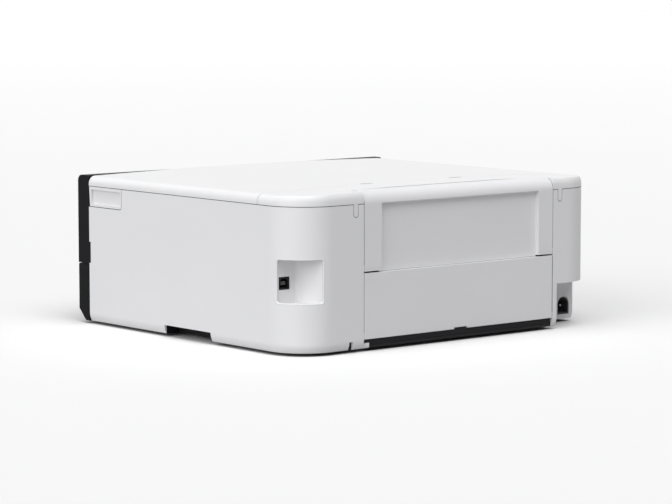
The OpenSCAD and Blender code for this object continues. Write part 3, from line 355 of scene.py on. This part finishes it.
def arched(width, height, radius, inset, steps=8):
    """Outline with square lower corners and round upper ones, as on a mains inlet."""
    w, h, r = width / 2 - inset, height / 2 - inset, radius - inset
    points = [(-w, -h), (w, -h)]
    for k, sx in ((0, 1), (1, -1)):
        for i in range(steps + 1):
            a = math.pi / 2 * (k + i / steps)
            points.append((sx * (w - r) + r * math.cos(a), h - r + r * math.sin(a)))
    return points


def mains_inlet():
    """Inlet with a deep well and two pins."""
    centre, width, height, back, front = facing("power_inlet")
    floor = front - INLET_DEPTH * MM
    bm = bmesh.new()
    outer, inner = (arched(width, height, INLET_ROUND, inset) for inset in (0, INLET_WALL))
    well(bm, outer, inner, centre, front, floor, back)
    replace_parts(finish_piece("mains_inlet_well", bm, "dark_inner", "base", 0.3), "power_inlet")
    bm = bmesh.new()
    pin = arc((0, 0), PIN_R, 0, 360, PIN_SIDES)[:-1]
    for sx in (-PIN_X, PIN_X):
        slab(bm, pin, floor, front - PIN_END * MM, (centre[0] + sx * MM, centre[1] - PIN_DROP * MM))
    finish_piece("mains_inlet_pins", bm, "steel", "base", 0.5)


# ---------------------------------------------------------------- soft pads

FOAM_EDGE = 2.2                            # how far the border is rounded
FOAM_CROWN = 0.8                           # share of a full round that the border rises by
FOAM_HOLLOWS = 0.12                        # half their depth
FOAM_WAVES = (95, 120)                     # along X and Y, in radians per metre
FOAM_CELLS = (60, 44)
FELT_LAYERS = 3
FELT_STEP = (1.2, 2.0)                     # how much less wide and long each layer is
FELT_ROUND = 2.5
FELT_GAP = 0.25


def lid_foam():
    """Soft pad under the lid: rounded border below, faint hollows, a flat back."""
    low, high = map(Vector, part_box("lid_pad"))
    nx, ny = FOAM_CELLS
    bm = bmesh.new()
    under, back = [], []
    for j in range(ny + 1):
        for i in range(nx + 1):
            x = low.x + (high.x - low.x) * 0.5 * (1 - math.cos(math.pi * i / nx))
            y = low.y + (high.y - low.y) * 0.5 * (1 - math.cos(math.pi * j / ny))
            rim = min(1.0, min(x - low.x, high.x - x, y - low.y, high.y - y) / (FOAM_EDGE * MM))
            lift = FOAM_EDGE * (1 - math.sqrt(1 - (1 - rim) ** 2)) * FOAM_CROWN
            lift += FOAM_HOLLOWS * (1 + math.sin(x * FOAM_WAVES[0]) * math.cos(y * FOAM_WAVES[1])) * rim
            under.append(bm.verts.new((x, y, low.z + lift * MM)))
            back.append(bm.verts.new((x, y, high.z)))
    step = nx + 1
    for j in range(ny):
        for i in range(nx):
            k = j * step + i
            for layer in (under, back):
                bm.faces.new((layer[k], layer[k + 1], layer[k + 1 + step], layer[k + step]))
    border = list(range(step)) + [j * step + nx for j in range(1, ny + 1)]
    border += [ny * step + i for i in range(nx - 1, -1, -1)] + [j * step for j in range(ny - 1, 0, -1)]
    bridge(bm, [under[k] for k in border], [back[k] for k in border])
    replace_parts(finish_piece("lid_foam", bm, "foam", "lid"), "lid_pad")


def waste_felts():
    """Felt layers in the ink tray, each cut a little smaller than the one below."""
    low, high = map(Vector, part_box("waste_pad"))
    centre = (low + high) / 2
    width, length = (high - low).xy / MM
    thick = (high.z - low.z) / FELT_LAYERS
    for k in range(FELT_LAYERS):
        bm = bmesh.new()
        outline = round_rect(width - FELT_STEP[0] * k, length - FELT_STEP[1] * k, FELT_ROUND)
        slab(bm, outline, low.z + k * thick, low.z + (k + 1) * thick - FELT_GAP * MM, centre, "Z")
        layer = finish_piece("waste_felt_%d" % (k + 1), bm, "pad", "base", 0.9)
        if k == 0:
            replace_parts(layer, "waste_pad")


# ---------------------------------------------------------------- dark rubber strips in the seams, as painted shade of the gaps

def case_box(node):
    """Lowest and highest corner of a node in millimetres."""
    return [Vector(corner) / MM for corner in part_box(node)]


CASE_X, CASE_Y = case_box("right_cover")[1].xy
CASE_FRONT = case_box("document_lid")[0].y  # front edge of the white casing
PARTING = case_box("scanner_glass")[1].z    # height of the seam under the lid
SCANNER_REAR = case_box("scanner_frame")[1].y
SLIT = 0.3                                  # from a door's, tab's or grip's edge to the middle of its seam
DOOR_MIDDLE = sum(case_box("duct_cover"), Vector()).x / 2
DOOR_HALF = case_box("duct_cover")[1].x - DOOR_MIDDLE + SLIT
DOOR_TOP = case_box("feed_cover")[1].z
DOOR_ROUND = 11.0
CORNER_R = 39.0
SHADE_INSET = 0.14                           # the dark strips of painted seam shade lie this far behind the covers' faces
SHADE_DEPTH = 2.9
SHADE_HALF = 0.24                            # half the height of the seals under the lid
SHADE_START = 1.0                            # behind the front edge of the casing
CORNER_SHADE_START = 2.0                     # behind the scanner's rear
DOOR_SHADE_HALF, DOOR_SHADE_WIDTH = 0.22, 1.6
DUCT_SHADE_HEIGHTS = (17.0, 69.0)
FEED_SHADE_FOOT = 76.5
TAB_OUT = {1: 9.5, -1: 9.0}                 # the latch tabs' distance from the doors, right and left
TAB_R, TAB_DROP = 2.65, 8.65                # round of a tab's foot, and its middle below the seam
TAB_SHADE_WIDTH, TAB_SHADE_DEPTH = 0.4, 1.8
GRIP_LENGTH, GRIP_DROP, GRIP_R = 52.0, 18.9, 3.3
GRIP_SHADE_WIDTH, GRIP_SHADE_DEPTH = 0.5, 2.2
GRIP_SHADE_TOP = 0.4                         # below the seam


def shade_lip(name, path, low, high, body):
    """Flat dark rubber lip along a path in plan, reaching inwards from it, between two heights; it is painted
    shade in a seam.
    """
    bm = bmesh.new()
    rows = []
    for k, (x, y) in enumerate(path):
        ax, ay = path[max(k - 1, 0)]
        bx, by = path[min(k + 1, len(path) - 1)]
        length = math.hypot(bx - ax, by - ay)
        nx, ny = -(by - ay) / length, (bx - ax) / length
        if nx * x + ny * y > 0:
            nx, ny = -nx, -ny
        inner = (x + nx * SHADE_DEPTH, y + ny * SHADE_DEPTH)
        rows.append([bm.verts.new((px * MM, py * MM, z * MM))
                     for px, py, z in ((x, y, low), (x, y, high), (*inner, high), (*inner, low))])
    sweep(bm, rows)
    # a dark piece that paints the shade in the seam
    finish_piece(name, bm, "rubber", body, 0.06)


def shade_strip(name, path, width, near, far, axis, body):
    """Dark rubber strip along a path across an axis, between two places on that axis, in millimetres; it is
    painted shade in a seam.
    """
    bm = bmesh.new()
    rows = []
    for k, point in enumerate(path):
        along = (Vector(path[min(k + 1, len(path) - 1)]) - Vector(path[max(k - 1, 0)])).normalized()
        across = Vector((-along.y, along.x)) * (width / 2)
        corners = [(Vector(point) + across, near), (Vector(point) + across, far),
                   (Vector(point) - across, far), (Vector(point) - across, near)]
        rows.append([bm.verts.new((d * MM, u * MM, v * MM) if axis == "X" else (u * MM, d * MM, v * MM))
                     for (u, v), d in corners])
    sweep(bm, rows)
    # a dark piece that paints the shade in the seam
    finish_piece(name, bm, "rubber", body, 0.05)


def seam_shade_strips():
    """Dark rubber strips as painted shade in the seams round the scanner, round the rear corners, beside the
    doors, and round the tabs and grips.
    """
    low, high = PARTING - SHADE_HALF, PARTING + SHADE_HALF
    side, rear, bend_r = CASE_X - SHADE_INSET, CASE_Y - SHADE_INSET, CORNER_R - SHADE_INSET
    for s, word in ((1, "right"), (-1, "left")):
        door = DOOR_MIDDLE + s * DOOR_HALF
        straight = [(s * side, CASE_FRONT + SHADE_START), (s * side, SCANNER_REAR)]
        shade_lip("scanner_seam_shade_" + word, straight, low, high, "scanner")
        bend = [(s * x, y) for x, y in arc((side - bend_r, rear - bend_r), bend_r, 0, 90, 16)]
        path = [(s * side, SCANNER_REAR + CORNER_SHADE_START)] + bend + [(door, rear)]
        shade_lip("corner_seam_shade_" + word, path, low, high, "base")

        inset = SHADE_INSET + DOOR_SHADE_WIDTH / 2
        lower = [(CASE_Y - inset, z) for z in DUCT_SHADE_HEIGHTS]
        upper = [(CASE_Y - inset, FEED_SHADE_FOOT)]
        upper += arc((CASE_Y - DOOR_ROUND, DOOR_TOP - DOOR_ROUND), DOOR_ROUND - inset, 0, 90)
        near, far = door - DOOR_SHADE_HALF, door + DOOR_SHADE_HALF
        shade_strip("duct_seam_shade_" + word, lower, DOOR_SHADE_WIDTH, near, far, "X", "base")
        shade_strip("door_seam_shade_" + word, upper, DOOR_SHADE_WIDTH, near, far, "X", "base")

        tab = door + s * TAB_OUT[s]
        hook = [(tab - TAB_R, PARTING - SLIT)] + arc((tab, PARTING - TAB_DROP), TAB_R, 180, 360)
        hook.append((tab + TAB_R, PARTING - SLIT))
        shade_strip("tab_seam_shade_" + word, hook, TAB_SHADE_WIDTH, rear, CASE_Y - TAB_SHADE_DEPTH, "Y", "base")

        foot, end = PARTING - GRIP_DROP - SLIT, CASE_FRONT + GRIP_LENGTH + SLIT
        grip = [(CASE_FRONT + SHADE_START, foot)] + arc((end - GRIP_R, foot + GRIP_R), GRIP_R, 270, 360)
        grip.append((end, PARTING - GRIP_SHADE_TOP))
        near, far = s * side, s * (CASE_X - GRIP_SHADE_DEPTH)
        shade_strip("grip_seam_shade_" + word, grip, GRIP_SHADE_WIDTH, near, far, "X", "base")


# ---------------------------------------------------------------- rim of the corner recess

RECESS_FROM, RECESS_TO = 11.84, 78.0        # degrees round the corner
RECESS_LOW, RECESS_HIGH = 45.5, 85.3
RIM_STEPS = 16                              # along the upper and the lower edge
RIM_PROFILE = (                             # inset from the recess's edge, round of the corners, depth
    (0.0, 0.05, 0.02), (0.5, 1.8, 0.04), (0.9, 2.2, 0.22), (1.2, 2.4, 0.7), (1.3, 2.5, 1.8), (0.0, 0.05, 1.8),
)


def recess_outline(inset, radius):
    """Rounded outline of the corner recess: lengths round the corner and heights, in millimetres."""
    length = math.radians(RECESS_TO - RECESS_FROM) * CORNER_R
    low, high = RECESS_LOW + inset + radius, RECESS_HIGH - inset - radius
    near, far = inset + radius, length - inset - radius
    points = []
    for (cx, cz), start in (((near, low), 180), ((far, low), 270), ((far, high), 0), ((near, high), 90)):
        points += arc((cx, cz), radius, start, start + 90, 6)
        if start in (270, 90):
            continue
        step = (far - near) / RIM_STEPS * (1 if start == 180 else -1)
        points += [(cx + step * k, cz + (radius if start == 0 else -radius)) for k in range(1, RIM_STEPS)]
    return points


def recess_rim():
    """Moulded rim with round corners, just inside the edge of the corner recess."""
    bm = bmesh.new()
    rings = []
    middle = Vector((CASE_X - CORNER_R, CASE_Y - CORNER_R, 0))
    for inset, radius, depth in RIM_PROFILE:
        points = []
        for along, z in recess_outline(inset, radius):
            angle, r = math.radians(RECESS_FROM) + along / CORNER_R, CORNER_R - depth
            points.append((middle + Vector((r * math.cos(angle), r * math.sin(angle), z))) * MM)
        rings.append(ring(bm, points))
    for a, b in zip(rings, rings[1:] + rings[:1]):
        bridge(bm, a, b)
    finish_piece("recess_rim", bm, "cover_white", "base")


usb_port()
recess_rim()
mains_inlet()
lid_foam()
waste_felts()
# dark strips in the seams: painted shade of the gaps
seam_shade_strips()


# ---------------------------------------------------------------- stage, light and camera

FLOOR_RADIUS, FLOOR_SIDES = 14.0, 96        # metres
FLOOR_SEEN = 0.925                          # the floor near the object, as the camera and mirrors see it
FLOOR_FAR = 0.99                            # the same towards the horizon
FADE_FROM, FADE_TO = 1.0, 6.5               # metres from the object
FLOOR_BOUNCE = 0.45                         # the floor as it lights the object
WORLD_LEVEL = 0.1                           # the world as it lights the object
LAMPS = (                                   # name, direction it comes from, strength, width in degrees
    ("top", (0.1, 0.05, 0.99), 1.3, 60),
    ("left", (0.92, 0.1, 0.38), 1.7, 60),
    ("behind", (0.15, 0.55, 0.82), 1.12, 40),
)
CAMERA_PLACE = Vector((1.6965, 2.0195, 0.35085))    # the camera as fitted to the photograph
CAMERA_HEADING = math.radians(225) + 0.0872
CAMERA_PITCH = -0.107
CAMERA_LENS = 150.5                         # millimetres on a sensor 36 wide


def rays_that_see(tree):
    """Socket that is 1 for the rays of the camera, of mirror-like surfaces and through clear ones."""
    path = tree.nodes.new("ShaderNodeLightPath")
    total = path.outputs["Is Camera Ray"]
    for kind in ("Is Glossy Ray", "Is Transmission Ray"):
        either = tree.nodes.new("ShaderNodeMath")
        either.operation = "MAXIMUM"
        tree.links.new(total, either.inputs[0])
        tree.links.new(path.outputs[kind], either.inputs[1])
        total = either.outputs["Value"]
    return total


def build_stage():
    """A wide pale floor that turns white towards the horizon, as the world behind it is for the camera."""
    bm = bmesh.new()
    bmesh.ops.create_circle(bm, cap_ends=True, radius=FLOOR_RADIUS, segments=FLOOR_SIDES)
    mesh = bpy.data.meshes.new("floor")
    bm.to_mesh(mesh)
    bm.free()
    floor = bpy.data.objects.new("floor", mesh)
    bpy.context.scene.collection.objects.link(floor)
    mat, tree, out, add = new_material("floor_paper")
    pick = tree.nodes.new("ShaderNodeMixShader")
    tree.links.new(rays_that_see(tree), pick.inputs["Fac"])
    bounced = add("ShaderNodeBsdfDiffuse", Color=(FLOOR_BOUNCE, FLOOR_BOUNCE, FLOOR_BOUNCE, 1.0))
    tree.links.new(bounced.outputs["BSDF"], pick.inputs[1])
    place = tree.nodes.new("ShaderNodeNewGeometry")
    distance = tree.nodes.new("ShaderNodeVectorMath")
    distance.operation = "LENGTH"
    tree.links.new(place.outputs["Position"], distance.inputs[0])
    fade = add("ShaderNodeMapRange", From_Min=FADE_FROM, From_Max=FADE_TO,
               To_Min=FLOOR_SEEN, To_Max=FLOOR_FAR)
    tree.links.new(distance.outputs["Value"], fade.inputs["Value"])
    shown = add("ShaderNodeBsdfDiffuse")
    tree.links.new(fade.outputs["Result"], shown.inputs["Color"])
    tree.links.new(shown.outputs["BSDF"], pick.inputs[2])
    tree.links.new(pick.outputs["Shader"], out.inputs["Surface"])
    mesh.materials.append(mat)


def far_lamp(name, direction, power, spread):
    """Broad studio light from a direction, as even over the floor as over the object."""
    lamp = bpy.data.lights.new(name, "SUN")
    lamp.energy = power
    lamp.angle = math.radians(spread)
    obj = bpy.data.objects.new(name, lamp)
    obj.rotation_euler = (-Vector(direction)).to_track_quat("-Z", "Y").to_euler()
    bpy.context.scene.collection.objects.link(obj)


def build_light():
    """World that is white to see and dim as a light, and the lamps."""
    world = bpy.data.worlds.new("studio")
    world.use_nodes = True
    tree = world.node_tree
    background = tree.nodes["Background"]
    background.inputs["Color"].default_value = (1.0, 1.0, 1.0, 1.0)
    level = tree.nodes.new("ShaderNodeMapRange")
    level.inputs["To Min"].default_value = WORLD_LEVEL
    level.inputs["To Max"].default_value = 1.0
    tree.links.new(rays_that_see(tree), level.inputs["Value"])
    tree.links.new(level.outputs["Result"], background.inputs["Strength"])
    bpy.context.scene.world = world
    for lamp in LAMPS:
        far_lamp(*lamp)


def build_camera():
    """The camera at the photograph's place, looking along its heading."""
    data = bpy.data.cameras.new("camera")
    data.sensor_width = 36.0
    data.lens = CAMERA_LENS
    data.clip_end = 40.0
    camera = bpy.data.objects.new("camera", data)
    forward = Vector((math.cos(CAMERA_HEADING) * math.cos(CAMERA_PITCH),
                      math.sin(CAMERA_HEADING) * math.cos(CAMERA_PITCH), math.sin(CAMERA_PITCH)))
    camera.location = CAMERA_PLACE
    camera.rotation_euler = forward.to_track_quat("-Z", "Y").to_euler()
    bpy.context.scene.collection.objects.link(camera)
    bpy.context.scene.camera = camera


build_stage()
build_light()
build_camera()
bpy.context.scene.view_settings.view_transform = "Standard"
